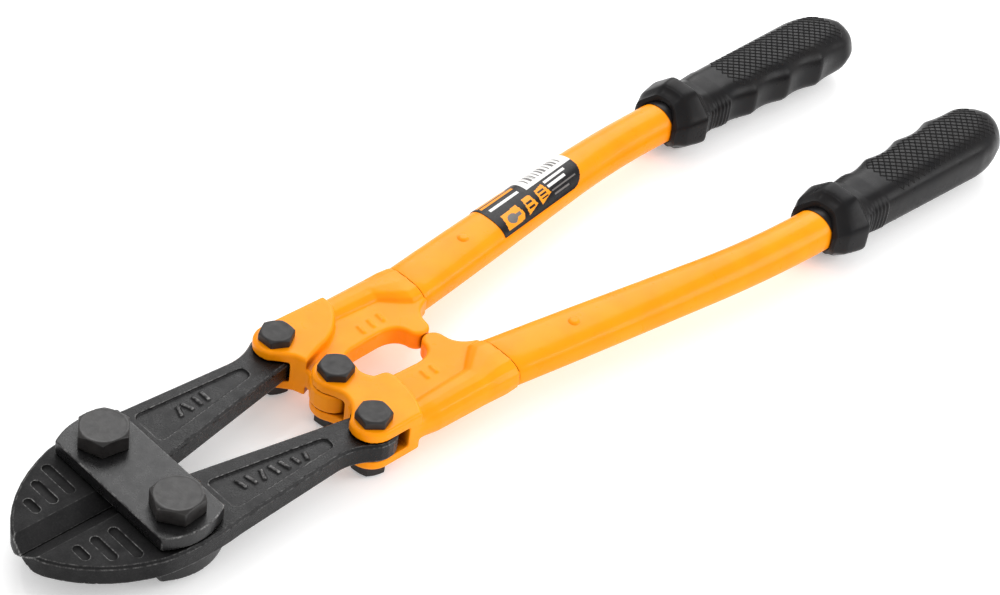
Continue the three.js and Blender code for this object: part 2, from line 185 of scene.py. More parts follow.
def rod(name, x, y, radius, low, high, sides=48):
    """Upright round bar."""
    put_down()
    bpy.ops.mesh.primitive_cylinder_add(
        vertices=sides, radius=radius * MM, depth=(high - low) * MM,
        location=at(x, y, (low + high) / 2),
    )
    return settle(bpy.context.object, name)


def work(piece, kind, **settings):
    """Puts one modifier on a piece and applies it."""
    take(piece)
    modifier = piece.modifiers.new(kind.title(), kind)
    for name, value in settings.items():
        setattr(modifier, name, value)
    bpy.ops.object.modifier_apply(modifier=modifier.name)


def carve(piece, tool, operation="DIFFERENCE"):
    """Cuts, joins or trims a piece with another, which is used up."""
    work(piece, "BOOLEAN", object=tool, operation=operation, solver="EXACT")
    bpy.data.objects.remove(tool)


def join(piece, *others):
    """Makes several meshes one piece."""
    put_down()
    for other in others:
        other.select_set(True)
    piece.select_set(True)
    bpy.context.view_layer.objects.active = piece
    bpy.ops.object.join()
    return piece


def turn_outwards(piece):
    """Makes every face point out of the piece."""
    edit(piece)
    bpy.ops.mesh.normals_make_consistent(inside=False)
    put_down()


def break_edges(piece, width, segments=3, angle=30):
    """Rounds every sharp edge."""
    work(
        piece, "BEVEL", width=width * MM, segments=segments, limit_method="ANGLE",
        angle_limit=math.radians(angle), use_clamp_overlap=True, harden_normals=False,
    )


def shade(piece, angle):
    """Smooth shading, but for edges sharper than this many degrees."""
    take(piece)
    bpy.ops.object.shade_smooth_by_angle(angle=math.radians(angle))


def twin(piece, name, across=False, shift=(0, 0, 0), turn=0.0, about=(0, 0)):
    """Copy with its own mesh: mirrored across the tool, or turned and shifted."""
    put_down()
    copy = piece.copy()
    copy.data = piece.data.copy()
    bpy.context.scene.collection.objects.link(copy)
    if across:
        flip = Matrix.Diagonal((1, -1, 1, 1))
        copy.data.transform(Matrix.Translation(ORIGIN) @ flip @ Matrix.Translation(-ORIGIN))
        copy.data.flip_normals()
    centre = at(*about, 0)
    spin = Matrix.Translation(centre) @ Matrix.Rotation(turn, 4, "Z") @ Matrix.Translation(-centre)
    copy.data.transform(Matrix.Translation(MM * Vector(shift)) @ spin)
    copy.name = name
    copy.data.name = name
    return copy


def moved_across(piece):
    """Swaps a piece of side A for its mirror image, under the same name."""
    name = piece.name
    image = twin(piece, name + "_", across=True)
    bpy.data.objects.remove(piece)
    image.name = name
    return image


def copy_of_node(node, name):
    """Merged copy of a CAD piece, ready to be worked."""
    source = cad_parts[node]
    piece = bpy.data.objects.new(name, source.data.copy())
    bpy.context.scene.collection.objects.link(piece)
    piece.data.materials.clear()
    edit(piece)
    bpy.ops.mesh.remove_doubles(threshold=0.002 * MM)
    put_down()
    return piece


def lofted(name, rings):
    """Long closed piece: a disc, extruded from ring to ring. A ring is a list of places."""
    sides = len(rings[0])
    put_down()
    bpy.ops.mesh.primitive_circle_add(
        vertices=sides, radius=MM, fill_type="NGON", enter_editmode=True,
    )
    piece = bpy.context.object
    mesh = bmesh.from_edit_mesh(piece.data)
    spoke = mesh.verts.layers.int.new("spoke")
    for number, vertex in enumerate(mesh.verts):
        vertex[spoke] = number
    for step, ring in enumerate(rings):
        if step:
            bpy.ops.mesh.extrude_region_move()
        mesh = bmesh.from_edit_mesh(piece.data)
        spoke = mesh.verts.layers.int.get("spoke")
        for vertex in mesh.verts:
            if vertex.select:
                vertex.co = ring[vertex[spoke]]
        bmesh.update_edit_mesh(piece.data)
    bpy.ops.mesh.select_all(action="SELECT")
    bpy.ops.mesh.normals_make_consistent(inside=False)
    put_down()
    piece.data.attributes.remove(piece.data.attributes["spoke"])
    return settle(piece, name)


def mount(piece, body, slot, finish, *nodes):
    """Gives a finished piece its finish and its body, and hides the CAD pieces it stands for; slot
    is not used.
    """
    piece.data.materials.clear()
    piece.data.materials.append(finish)
    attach(piece, body)
    if nodes:
        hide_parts(*nodes)
    return piece


# ---- Finishes -----------------------------------------------------------------------------
class Recipe:
    """Short hand for a material's nodes. Lengths in it are metres."""

    def __init__(self, name):
        self.material = bpy.data.materials.new(name)
        self.material.use_nodes = True
        self.tree = self.material.node_tree
        self.shader = self.tree.nodes["Principled BSDF"]
        self.place = self.tree.nodes.new("ShaderNodeTexCoord").outputs["Object"]

    def feed(self, socket, value):
        """Links what comes from a node, and sets a plain number or colour."""
        if isinstance(value, bpy.types.NodeSocket):
            self.tree.links.new(value, socket)
        else:
            socket.default_value = (*value, 1) if isinstance(value, tuple) else value

    def node(self, kind, **inputs):
        made = self.tree.nodes.new("ShaderNode" + kind)
        for name, value in inputs.items():
            self.feed(made.inputs[name.replace("_", " ")], value)
        return made

    def noise(self, size, detail=3.0, roughness=0.5, stretch=(1, 1, 1)):
        """Cloudy pattern with features about this many millimetres across."""
        mapping = self.node("Mapping", Vector=self.place)
        mapping.inputs["Scale"].default_value = [1 / s for s in stretch]
        made = self.node(
            "TexNoise", Vector=mapping.outputs[0], Scale=1 / (size * MM),
            Detail=detail, Roughness=roughness,
        )
        return made.outputs["Fac"]

    def ramp(self, value, *stops):
        """Each stop is (position, grey level)."""
        made = self.node("ValToRGB", Fac=value)
        ramp = made.color_ramp
        while len(ramp.elements) < len(stops):
            ramp.elements.new(0.5)
        for element, (position, level) in zip(ramp.elements, stops):
            element.position = position
            element.color = (level, level, level, 1)
        return made.outputs["Color"]

    def blend(self, amount, first, second):
        """First colour where the amount is 0, second where it is 1."""
        made = self.tree.nodes.new("ShaderNodeMix")
        made.data_type = "RGBA"
        for number, value in ((0, amount), (6, first), (7, second)):
            self.feed(made.inputs[number], value)
        return made.outputs[2]

    def combine(self, first, second, kind):
        """Adds or multiplies two values."""
        made = self.tree.nodes.new("ShaderNodeMath")
        made.operation = kind
        for socket, value in zip(made.inputs, (first, second)):
            self.feed(socket, value)
        return made.outputs[0]

    def bump(self, height, depth, below=None):
        """Relief this many millimetres deep."""
        made = self.node("Bump", Height=height, Strength=1.0, Distance=depth * MM)
        if below:
            self.feed(made.inputs["Normal"], below)
        return made.outputs["Normal"]

    def edges(self, low, high):
        """White where an edge stands out, from the surface's own curvature."""
        point = self.tree.nodes.new("ShaderNodeNewGeometry").outputs["Pointiness"]
        return self.ramp(point, (low, 0.0), (high, 1.0))

    def painted_shade_mask(self, reach, low, high):
        """Mask for painted shade, from ambient occlusion: white in the open, black deep in corners
        and slots this many millimetres wide.
        """
        shelter = self.node("AmbientOcclusion", Distance=reach * MM)
        return self.ramp(shelter.outputs["AO"], (low, 0.0), (high, 1.0))

    def finish(self, colour, roughness, normal=None, **fixed):
        """Feeds the shader. What is the same all over is set on its own sockets."""
        self.feed(self.shader.inputs["Base Color"], colour)
        self.feed(self.shader.inputs["Roughness"], roughness)
        if normal:
            self.feed(self.shader.inputs["Normal"], normal)
        for name, value in fixed.items():
            self.shader.inputs[name.replace("_", " ")].default_value = value
        return self.material


def orange_enamel(name, peel):
    """Thick glossy stove enamel with random blotches, browner in concave corners and near black
    deep in hollows and slots, both painted shade.
    """
    r = Recipe(name)
    broad = r.noise(14, detail=2)
    broad = r.ramp(broad, (0.35, 0.0), (0.65, 1.0))
    colour = r.blend(broad, (0.97, 0.284, 0.001), (1.0, 0.316, 0.002))
    # Painted shade: the colour turns browner where the surface is concave, in corners.
    corner = r.edges(0.40, 0.49)
    colour = r.blend(corner, (0.80, 0.20, 0.001), colour)
    grime = r.ramp(r.noise(2.2, detail=6, roughness=0.7), (0.60, 0.0), (0.75, 0.4))
    colour = r.blend(grime, colour, (0.72, 0.20, 0.002))
    # Painted shade: near-black brown deep in corners, hollows and slots, from ambient occlusion.
    colour = r.blend(r.painted_shade_mask(7, 0.25, 0.62), (0.22, 0.045, 0.001), colour)
    shine = r.ramp(r.noise(5, detail=4), (0.3, 0.26), (0.7, 0.38))
    skin = r.bump(r.noise(1.6, detail=2), 0.03 * peel)
    skin = r.bump(r.noise(6, detail=1), 0.16 * peel, below=skin)
    return r.finish(
        colour, shine, skin, Specular_IOR_Level=0.09, Coat_Weight=0.07, Coat_Roughness=0.07,
    )


NOSE_X = (-92, -99)                # the jaws' nose gets rougher over this length


def forged_steel(name, tone, gloss, dull, specular, swell, nose=0.0):
    """Blackened forging with a fine scale, pale along its edges, partly real worn metal and partly
    a painted highlight, with painted glints in its grain and painted shade deep in slots.

    swell is the depth of its broad unevenness, and nose how much rougher it is in front.
    """
    r = Recipe(name)
    cloud = r.noise(9, detail=5, roughness=0.6)
    dark = (0.008 * tone, 0.008 * tone, 0.009 * tone)
    pale = (0.020 * tone, 0.019 * tone, 0.020 * tone)
    colour = r.blend(r.ramp(cloud, (0.3, 0.0), (0.7, 1.0)), dark, pale)
    # Pale on convex edges: partly real worn metal, partly a painted highlight.
    patchy = r.ramp(r.noise(3.0, detail=4), (0.36, 0.1), (0.56, 1.0))
    edge_wear_and_highlight = r.combine(patchy, r.edges(0.51, 0.555), "MULTIPLY")
    broken = r.ramp(r.noise(0.8, detail=2), (0.4, 0.25), (0.6, 1.0))
    edge_wear_and_highlight = r.combine(edge_wear_and_highlight, broken, "MULTIPLY")
    # Pale speckle: partly the forging's grain, partly painted glints.
    grain_and_glint = r.ramp(r.noise(0.7, detail=3, roughness=0.7), (0.48, 0.0), (0.74, 0.9))
    colour = r.blend(grain_and_glint, colour, (0.015, 0.0145, 0.0145))
    colour = r.blend(edge_wear_and_highlight, colour, (0.30, 0.295, 0.29))
    # Painted shade: near black deep in slots, grooves and the recess, from ambient occlusion.
    colour = r.blend(r.painted_shade_mask(2.6, 0.5, 0.93), (0.001, 0.001, 0.001), colour)
    scale = r.noise(0.6, detail=4, roughness=0.7)
    shine = r.ramp(r.noise(4, detail=5), (0.3, gloss), (0.7, dull))
    along = r.node("SeparateXYZ", Vector=r.place).outputs["X"]
    start, end = (at(x, 0, 0).x for x in NOSE_X)
    front = r.node("MapRange", Value=along, From_Min=start, From_Max=end, To_Max=nose)
    shine = r.combine(shine, front.outputs["Result"], "ADD")
    skin = r.bump(scale, 0.09 * swell + 0.02)
    skin = r.bump(r.noise(7, detail=2), 0.12 * swell, below=skin)
    return r.finish(colour, shine, skin, Specular_IOR_Level=specular)


def black_oxide(name, gloss, dull):
    """Bolt steel: satin black with faint machining marks and paler corners."""
    r = Recipe(name)
    cloud = r.noise(3.5, detail=4)
    cloud = r.ramp(cloud, (0.3, 0.0), (0.7, 1.0))
    colour = r.blend(cloud, (0.011, 0.010, 0.010), (0.022, 0.020, 0.019))
    colour = r.blend(r.edges(0.53, 0.62), colour, (0.06, 0.058, 0.056))
    scratches = r.noise(0.5, detail=3, stretch=(1, 12, 1))
    shine = r.ramp(r.noise(2.5, detail=4), (0.3, gloss), (0.7, dull))
    skin = r.bump(scratches, 0.008)
    skin = r.bump(r.noise(1.6, detail=3), 0.025, below=skin)
    return r.finish(colour, shine, skin, Specular_IOR_Level=0.32)


def moulded_rubber(name):
    """Black grip rubber: fine matt grain, polished a little where it stands out."""
    r = Recipe(name)
    cloud = r.noise(12, detail=3)
    cloud = r.ramp(cloud, (0.3, 0.0), (0.7, 1.0))
    colour = r.blend(cloud, (0.007, 0.007, 0.008), (0.012, 0.011, 0.011))
    colour = r.blend(r.edges(0.53, 0.66), colour, (0.022, 0.021, 0.021))
    shine = r.ramp(r.noise(5, detail=5, roughness=0.6), (0.3, 0.25), (0.7, 0.38))
    skin = r.bump(r.noise(0.45, detail=2), 0.012)
    return r.finish(colour, shine, skin, Specular_IOR_Level=0.10)


def label_print(name, colour, worn):
    """Printed plastic film, faintly scuffed."""
    r = Recipe(name)
    scuffs = r.ramp(r.noise(1.2, detail=6, roughness=0.7), (0.58, 0.0), (0.72, 1.0))
    tone = r.blend(scuffs, colour, worn)
    shine = r.ramp(r.noise(3, detail=4), (0.3, 0.22), (0.7, 0.38))
    skin = r.bump(r.noise(2.5, detail=2), 0.02)
    return r.finish(tone, shine, skin, Specular_IOR_Level=0.14)


def dull_ground(name):
    """Pale floor that gives back a little light of its own."""
    r = Recipe(name)
    r.shader.inputs["Emission Color"].default_value = (1, 1, 1, 1)
    r.shader.inputs["Emission Strength"].default_value = 0.28
    shine = r.ramp(r.noise(60), (0.3, 0.75), (0.7, 0.85))
    return r.finish((0.90, 0.90, 0.90), shine, Specular_IOR_Level=0.1)


CASTING_ENAMEL = orange_enamel("casting_enamel", 1.0)
TUBE_ENAMEL = orange_enamel("tube_enamel", 0.45)
JAW_STEEL = forged_steel("jaw_forging", 0.45, 0.20, 0.38, 0.18, 1.1, nose=0.30)
STRAP_STEEL = forged_steel("strap_plate", 0.5, 0.24, 0.35, 0.33, 0.35)
JAW_BOLT_STEEL = black_oxide("jaw_bolt_black", 0.27, 0.40)
PIN_BOLT_STEEL = black_oxide("pin_bolt_black", 0.44, 0.56)
GRIP_RUBBER = moulded_rubber("grip_rubber")


# ---- Jaws ---------------------------------------------------------------------------------
JAW_MARKS = {                      # plain raised bars in the recess: x, y, length, turn in degrees
    "A": [(-51.5, 19.9, 4.6, 70), (-48.0, 20.3, 4.6, 110), (-43.5, 20.7, 4.6, 90),
          (-40.0, 21.0, 4.6, 90)],
    "B": [(-57, 19.0, 4.6, 80), (-53, 19.4, 4.6, 80), (-48.5, 19.9, 4.6, 110), (-44, 20.4, 4.6, 80),
          (-40, 20.8, 4.6, 80), (-35.5, 21.3, 3.4, 80), (-31.5, 21.7, 3.4, 110)],
}
JAW_MARK_SIZE = {"floor": 3.1, "height": 0.8, "width": 1.25}
MARK_ROOT = 0.8                    # how far a bar reaches down into its floor
MARK_EDGE = 0.25


def raised_bars(marks, sign, floor, height, width):
    """Short plain bars that stand on a cast floor, sign -1 for side B."""
    bars = []
    for number, (x, y, length, turn) in enumerate(marks):
        low = (x - length / 2, y - width / 2, floor - MARK_ROOT)
        high = (x + length / 2, y + width / 2, floor + height)
        bar = block(f"bar_{number}", low, high)
        spun = twin(bar, f"bar_{number}", turn=math.radians(turn), about=(x, y))
        bpy.data.objects.remove(bar)
        if sign < 0:
            spun = moved_across(spun)
        break_edges(spun, MARK_EDGE, segments=2)
        bars.append(spun)
    return bars


def forge(piece, grain, passes):
    """Closes a piece into one fine skin, grain millimetres to a face, and softens its edges."""
    work(piece, "REMESH", mode="VOXEL", voxel_size=grain * MM, adaptivity=0)
    work(piece, "SMOOTH", factor=0.5, iterations=passes)


for side, sign in SIDES.items():
    jaw = copy_of_node(f"jaw_{side}", f"jaw_{side}_forged")
    join(jaw, *raised_bars(JAW_MARKS[side], sign, **JAW_MARK_SIZE))
    forge(jaw, GRAIN["jaw"], 1)
    shade(jaw, 60)
    mount(jaw, f"jaw_{side}_body", "jaw_steel", JAW_STEEL, f"jaw_{side}")


# ---- Straps -------------------------------------------------------------------------------
def strap(name, node):
    """Flat plate with curved ends, bored for the two jaw bolts."""
    low, high = (from_pivot(corner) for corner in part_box(node))
    corner_y, cuts = STRAP["corner_y"], STRAP["cuts"]
    bulge = 2 * (high.y - corner_y)
    plate = block(name, (low.x, -corner_y, low.z), (high.x, corner_y, high.z))
    edit(plate)
    pick(plate, "EDGE", lambda e: abs(e.verts[0].co.x - e.verts[1].co.x) > MM)
    bpy.ops.mesh.subdivide(number_cuts=cuts)
    for step in range(1, cuts + 1):
        t = step / (cuts + 1)
        here = at(mix(low.x, high.x, t), 0, 0)
        pick(plate, "VERT", lambda v: abs(v.co.x - here.x) < 0.1 * MM)
        stretch = (corner_y + 2 * bulge * t * (1 - t)) / corner_y
        bpy.ops.transform.resize(value=(1, stretch, 1), center_override=here)
    put_down()
    for side in SIDES:
        place = from_pivot(middle(f"jaw_bolt_{side}"))
        bore = JAW_BOLT["shank"] + BORE_PLAY["strap"]
        carve(plate, rod("drill", place.x, place.y, bore, low.z - 1, high.z + 1))
    break_edges(plate, STRAP["edge"], angle=40)
    forge(plate, GRAIN["strap"], 1)
    shade(plate, 50)
    return plate


for level in ("top", "bottom"):
    plate = strap(f"strap_{level}_plate", f"{level}_strap")
    mount(plate, "straps", "strap_steel", STRAP_STEEL, f"{level}_strap")


# ---- Bolts and nuts -----------------------------------------------------------------------
def hexagon(name, size, bottom, top, crown_up):
    """Hexagon block at the centre pivot with a round chamfer on one face."""
    corner = size["flats"] / math.sqrt(3)
    piece = rod(name, 0, 0, corner, bottom, top, sides=6)
    run = (top - bottom) / BOLT_CHAMFER_SLOPE
    put_down()
    below, above = size["crown"] + run, size["crown"]
    if not crown_up:
        below, above = above, below
    bpy.ops.mesh.primitive_cone_add(
        vertices=72, radius1=below * MM, radius2=above * MM,
        depth=(top - bottom) * MM, location=at(0, 0, (bottom + top) / 2),
    )
    carve(piece, settle(bpy.context.object, "crown"), "INTERSECT")
    return piece


def bolt(name, size, node):
    """Hex bolt at the centre pivot: crowned head, plain shank, chamfered end."""
    low, high = (from_pivot(corner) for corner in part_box(node))
    seat = high.z - size["head"]
    head = hexagon(name, size, seat, high.z, True)
    shank = rod("shank", 0, 0, size["shank"], low.z, seat + 1, sides=48)
    edit(shank)
    pick(shank, "FACE", lambda f: f.normal.z < -0.9)
    bpy.ops.mesh.inset(thickness=0.7 * MM)
    bpy.ops.transform.translate(value=(0, 0, -0.01 * MM))
    put_down()
    carve(head, shank, "UNION")
    break_edges(head, BOLT_EDGE, segments=3, angle=22)
    edit(head)
    top = high.z - 0.05
    pick(head, "FACE", lambda f: f.normal.z > 0.99 and from_pivot(f.calc_center_median()).z > top)
    bpy.ops.mesh.inset(thickness=0.5 * MM)
    bpy.ops.transform.translate(value=(0, 0, -0.05 * MM))
    put_down()
    forge(head, GRAIN["bolt"], 1)
    shade(head, 40)
    return head


def nut(name, size, node):
    """Hex nut at the centre pivot, bored for its bolt."""
    low, high = (from_pivot(corner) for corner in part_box(node))
    piece = hexagon(name, size, low.z, high.z, False)
    carve(piece, rod("drill", 0, 0, size["shank"] + BORE_PLAY["nut"], low.z - 1, high.z + 1))
    break_edges(piece, BOLT_EDGE, segments=2, angle=22)
    forge(piece, GRAIN["bolt"], 1)
    shade(piece, 40)
    return piece


FASTENERS = {                      # body, and how far the hexagon is turned, in radians
    "jaw_bolt_A": ("straps", 0.38), "jaw_bolt_B": ("straps", -0.4),
    "jaw_nut_A": ("straps", 0.2), "jaw_nut_B": ("straps", 0.2),
    "link_bolt_A": ("handle_A", 0.05), "link_bolt_B": ("handle_B", -0.13),
    "link_nut_A": ("handle_A", 0.2), "link_nut_B": ("handle_B", 0.2),
    "pivot_bolt": ("handle_B", -0.17), "pivot_nut": ("handle_B", 0.2),
}
patterns = {
    "jaw_bolt": bolt("jaw_bolt_pattern", JAW_BOLT, "jaw_bolt_A"),
    "jaw_nut": nut("jaw_nut_pattern", JAW_BOLT, "jaw_nut_A"),
    "pin_bolt": bolt("pin_bolt_pattern", PIN_BOLT, "pivot_bolt"),
    "pin_nut": nut("pin_nut_pattern", PIN_BOLT, "pivot_nut"),
}
for node, (body, turn) in FASTENERS.items():
    kind = ("jaw_" if node.startswith("jaw") else "pin_") + ("bolt" if "bolt" in node else "nut")
    place = from_pivot(middle(node))
    piece = twin(patterns[kind], f"{node}_steel", turn=turn, shift=(place.x, place.y, 0))
    steel = JAW_BOLT_STEEL if node.startswith("jaw") else PIN_BOLT_STEEL
    mount(piece, body, "bolt_steel", steel, node)
for pattern in patterns.values():
    bpy.data.objects.remove(pattern)


# ---- Cast heads ---------------------------------------------------------------------------
HEAD_MARK_SIZE = {"floor": 4.0, "height": 0.5, "width": 1.2}
HEAD_MARKS = {                     # plain raised bars on the pocket floor
    "A": [(25.0, 14.6, 4.2, 85), (30.0, 15.0, 4.2, 85), (34.8, 15.4, 4.2, 85)],
    "B": [(27.2, 16.2, 4.2, 95), (31.6, 16.0, 4.2, 95)],
}

for side, sign in SIDES.items():
    head = copy_of_node(f"handle_head_{side}", f"handle_head_{side}_cast")
    join(head, *raised_bars(HEAD_MARKS[side], sign, **HEAD_MARK_SIZE))
    forge(head, GRAIN["head"], 7)
    shade(head, 60)
    mount(head, f"handle_{side}", "painted_casting", CASTING_ENAMEL, f"handle_head_{side}")


# ---- Tubes and their pins -----------------------------------------------------------------
def handle_tube(name):
    """Bent tube of side A, pressed flat towards the head."""
    sides, steps = 48, 56
    rings = []
    for step in range(steps + 1):
        x = mix(SEAM_X, TUBE["end_x"], step / steps)
        ring = []
        for spoke in range(sides):
            across, up = tube_point(x, 2 * math.pi * spoke / sides)
            ring.append(at(x, axis_y(x) + across, up))
        rings.append(ring)
    piece = lofted(name, rings)
    edit(piece)
    pick(piece, "FACE", lambda f: len(f.verts) > 4)
    bpy.ops.mesh.delete(type="FACE")
    put_down()
    work(piece, "SOLIDIFY", thickness=TUBE["wall"] * MM, offset=-1, use_even_offset=True)
    break_edges(piece, 0.35, segments=3, angle=50)
    shade(piece, 50)
    return piece


def tang_pin(name, node):
    """Round pin of side A with low domed ends."""
    low, high = (from_pivot(corner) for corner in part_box(node))
    centre = (low + high) / 2
    radius = (high.x - low.x) / 2
    piece = rod(name, centre.x, centre.y, radius, low.z, high.z, sides=32)
    edit(piece)
    pick(piece, "EDGE", lambda e: abs(e.verts[0].co.z - e.verts[1].co.z) < 0.01 * MM)
    bpy.ops.mesh.bevel(offset=1.7 * MM, segments=8, profile=0.5)
    put_down()
    shade(piece, 60)
    return piece


for side in SIDES:
    tube = handle_tube(f"handle_tube_{side}_enamelled")
    pin = tang_pin(f"tang_pin_{side}_enamelled", "tang_pin_A")
    if side == "B":
        tube, pin = moved_across(tube), moved_across(pin)
    mount(tube, f"handle_{side}", "painted_tube", TUBE_ENAMEL, f"handle_tube_{side}")
    mount(pin, f"handle_{side}", "painted_tube", TUBE_ENAMEL, f"tang_pin_{side}")


# ---- Grips --------------------------------------------------------------------------------
GRIP_STATIONS = [                  # x, outer and inner half width, half height, corner
    (207.5, 11.0, 11.0, 9.9, 1.46), (209.0, 11.6, 11.6, 10.6, 1.42),
    (213.0, 13.7, 13.5, 12.5, 1.40), (214.0, 14.0, 13.8, 12.8, 1.40),
    (221.8, 15.6, 15.3, 13.9, 1.40), (223.0, 15.7, 15.4, 14.0, 1.40),
    (223.8, 15.2, 15.0, 13.5, 1.40), (225.0, 13.6, 13.8, 11.8, 1.42),
    (227.5, 11.9, 12.4, 9.8, 1.50), (232.0, 11.2, 12.0, 9.2, 1.56),
    (239.0, 11.7, 12.4, 9.7, 1.60), (278.0, 13.6, 13.4, 10.3, 1.62),
    (300.0, 14.7, 13.9, 10.6, 1.62), (307.0, 14.4, 14.0, 10.6, 1.62),
    (312.0, 13.6, 13.8, 10.5, 1.62), (316.5, 12.2, 13.2, 10.2, 1.61),
    (318.8, 10.4, 12.0, 9.6, 1.58), (320.8, 8.2, 10.2, 8.6, 1.54),
    (321.9, 5.8, 7.8, 7.0, 1.50), (322.4, 3.0, 4.8, 4.6, 1.46),
]
CORNERS = {"flange": 30, "body": 12, "end": 4}     # how sharp the edges between the facets are
SOFTENED = {"body": (224, 8), "end": (300, 18)}    # from where, and over what length
FLANK = (0.55, 0.35)               # where the ribs start round the side, and how soon they are full
SIDE_COUNT = 88
SADDLE = 5.2                       # how far back the front rim runs over the top of the tube


def grip_size(x):
    """Sizes of the grip's section, eased between the stations."""
    for before, after in zip(GRIP_STATIONS, GRIP_STATIONS[1:]):
        if x <= after[0]:
            t = (x - before[0]) / (after[0] - before[0])
            return [mix(a, b, t) for a, b in zip(before[1:], after[1:])]
    return GRIP_STATIONS[-1][1:]


def grip_point(x, angle):
    """Point of the grip's eight-sided section: sideways, outer side positive, and up."""
    outer, inner, high, corner = grip_size(x)
    c, s = math.cos(angle), math.sin(angle)
    n = CORNERS["flange"]
    for part, (start, run) in SOFTENED.items():
        n = mix(n, CORNERS[part], smooth((x - start) / run))
    reach = (abs(c) ** n + abs(s) ** n + ((abs(c) + abs(s)) / corner) ** n) ** (-1 / n)
    across = reach * c * (outer if c > 0 else inner)
    up = reach * s * high
    flank = smooth((abs(c) - FLANK[0]) / FLANK[1])
    rib_run = (x - RIBS["start_x"]) / RIBS["pitch"]
    if 0 < rib_run < RIBS["count"] and flank > 0:
        rib = 0.5 - 0.5 * math.cos(2 * math.pi * rib_run)
        across += math.copysign(RIBS["height"] * flank * rib, c)
    if c < 0 and WAVES["first_x"] < x < WAVES["last_x"]:
        hollow = abs(math.sin(math.pi * (x - WAVES["first_x"]) / WAVES["pitch"]))
        fade = smooth((x - WAVES["first_x"]) / WAVES["fade_in"])
        fade *= smooth((WAVES["last_x"] - x) / WAVES["fade_out"])
        across -= WAVES["height"] * (0.5 - hollow) * abs(c) ** 0.5 * fade
    return across, up


def grip_rings(sides):
    """Rings from the bottom of the bore, out over the front rim, and back to the round end."""
    angles = [2 * math.pi * (spoke + 0.5) / sides for spoke in range(sides)]
    rings = []
    for x in (TUBE["end_x"] + 1, 280, 250, 225, 209):
        ring = []
        for angle in angles:
            across, up = tube_point(x, angle, GRIP["bore"])
            ring.append(at(x, axis_y(x) + across, up))
        rings.append(ring)
    for offset, back in ((0.12, 0.9), (0.3, 0.25), (0.9, 0.0)):
        ring = []
        for angle in angles:
            x = GRIP["front_x"] + back + SADDLE * math.sin(angle) ** 2
            across, up = tube_point(x, angle, offset)
            ring.append(at(x, axis_y(x) + across, up))
        rings.append(ring)
    outside = [GRIP["front_x"] + 0.6, 209, 211, 212.8, 213.2, 214, 217, 220]
    outside += [221.8, 222.6, 223.1, 223.5, 224]
    x = 224.5
    while x < 316:
        outside.append(x)
        x += 0.41 if x < 241.5 else 1.3        # close together along the ribs
    outside += [316.7, 317.8, 318.8, 319.8, 320.8, 321.4, 321.9, 322.2, GRIP["end_x"]]
    for x in outside:
        ring = []
        for angle in angles:
            across, up = grip_point(x, angle)
            saddle = SADDLE * math.sin(angle) ** 2 * smooth((221 - x) / 12)
            here = x + saddle
            ring.append(at(here, axis_y(here) + across, up))
        rings.append(ring)
    return rings


def diamond_net(name, grip, up):
    """Raised net of crossing bars on the grip's flat face, top or bottom."""
    put_down()
    length = NET["end_x"] - NET["start_x"]
    middle_x = (NET["end_x"] + NET["start_x"]) / 2
    tilt = math.atan2(axis_y(NET["end_x"]) - axis_y(NET["start_x"]), length)
    bpy.ops.mesh.primitive_grid_add(
        x_subdivisions=NET["along"], y_subdivisions=NET["across"], size=1,
        location=at(middle_x, axis_y(middle_x) + 0.4, 20 * up), rotation=(0, 0, tilt),
    )
    net = bpy.context.object
    net.scale = (length * MM, 2 * NET["half_width"] * MM, 1)
    settle(net, name)
    edit(net, "FACE")
    bpy.ops.mesh.poke()
    inner = lambda e: len(e.link_faces) == 2 and all(len(v.link_edges) > 4 for v in e.verts)
    pick(net, "EDGE", inner)
    bpy.ops.mesh.dissolve_edges(use_verts=False)
    pick(net, "FACE", lambda f: len(f.verts) == 3)
    bpy.ops.mesh.delete(type="FACE")
    put_down()
    work(
        net, "SHRINKWRAP", target=grip, wrap_method="PROJECT", use_project_z=True,
        use_negative_direction=True, use_positive_direction=True, offset=-0.05 * MM,
    )
    work(net, "WIREFRAME", thickness=NET["bar"] * MM, use_even_offset=True, use_boundary=True)
    return net


def grip(name):
    """Moulded grip of side A in one piece with its net."""
    body = lofted(name, grip_rings(SIDE_COUNT))
    top = diamond_net("net_top", body, 1)
    bottom = diamond_net("net_bottom", body, -1)
    join(body, top, bottom)
    body.name = name
    shade(body, 40)
    return body


for side in SIDES:
    piece = grip(f"grip_{side}_moulded")
    if side == "B":
        piece = moved_across(piece)
    mount(piece, f"handle_{side}", "grip_rubber", GRIP_RUBBER, f"grip_{side}")


# ---- Label --------------------------------------------------------------------------------
LABEL_INKS = [
    label_print("label_black", (0.010, 0.009, 0.010), (0.035, 0.032, 0.032)),
    label_print("label_orange", (0.90, 0.32, 0.015), (0.8, 0.36, 0.06)),
    label_print("label_white", (0.80, 0.79, 0.77), (0.6, 0.59, 0.57)),
    label_print("label_grey", (0.16, 0.15, 0.145), (0.22, 0.21, 0.2)),
]
BLACK, ORANGE, WHITE, GREY = range(4)
LABEL_CELLS = (150, 110)
LABEL_EDGE = {"outer": 12.5, "inner": -9.3}       # how far it wraps from the top line
LABEL_WRAP = {"flat": 0.62, "spread": 1.08, "shoulder": 7.0}     # the tube's shape under it


def girth(x, reach):
    """Angle on the tube at this distance along its skin from the top line."""
    k = smooth((x - SEAM_X) / (TUBE["round_x"] - SEAM_X))
    wide = mix(TUBE["front"][0], TUBE["rear"][0], k)
    flat = LABEL_WRAP["flat"] * wide
    if abs(reach) <= flat:
        return math.pi / 2 - reach / wide * LABEL_WRAP["spread"]
    turn = flat / wide * LABEL_WRAP["spread"] + (abs(reach) - flat) / LABEL_WRAP["shoulder"]
    return math.pi / 2 - math.copysign(turn, reach)


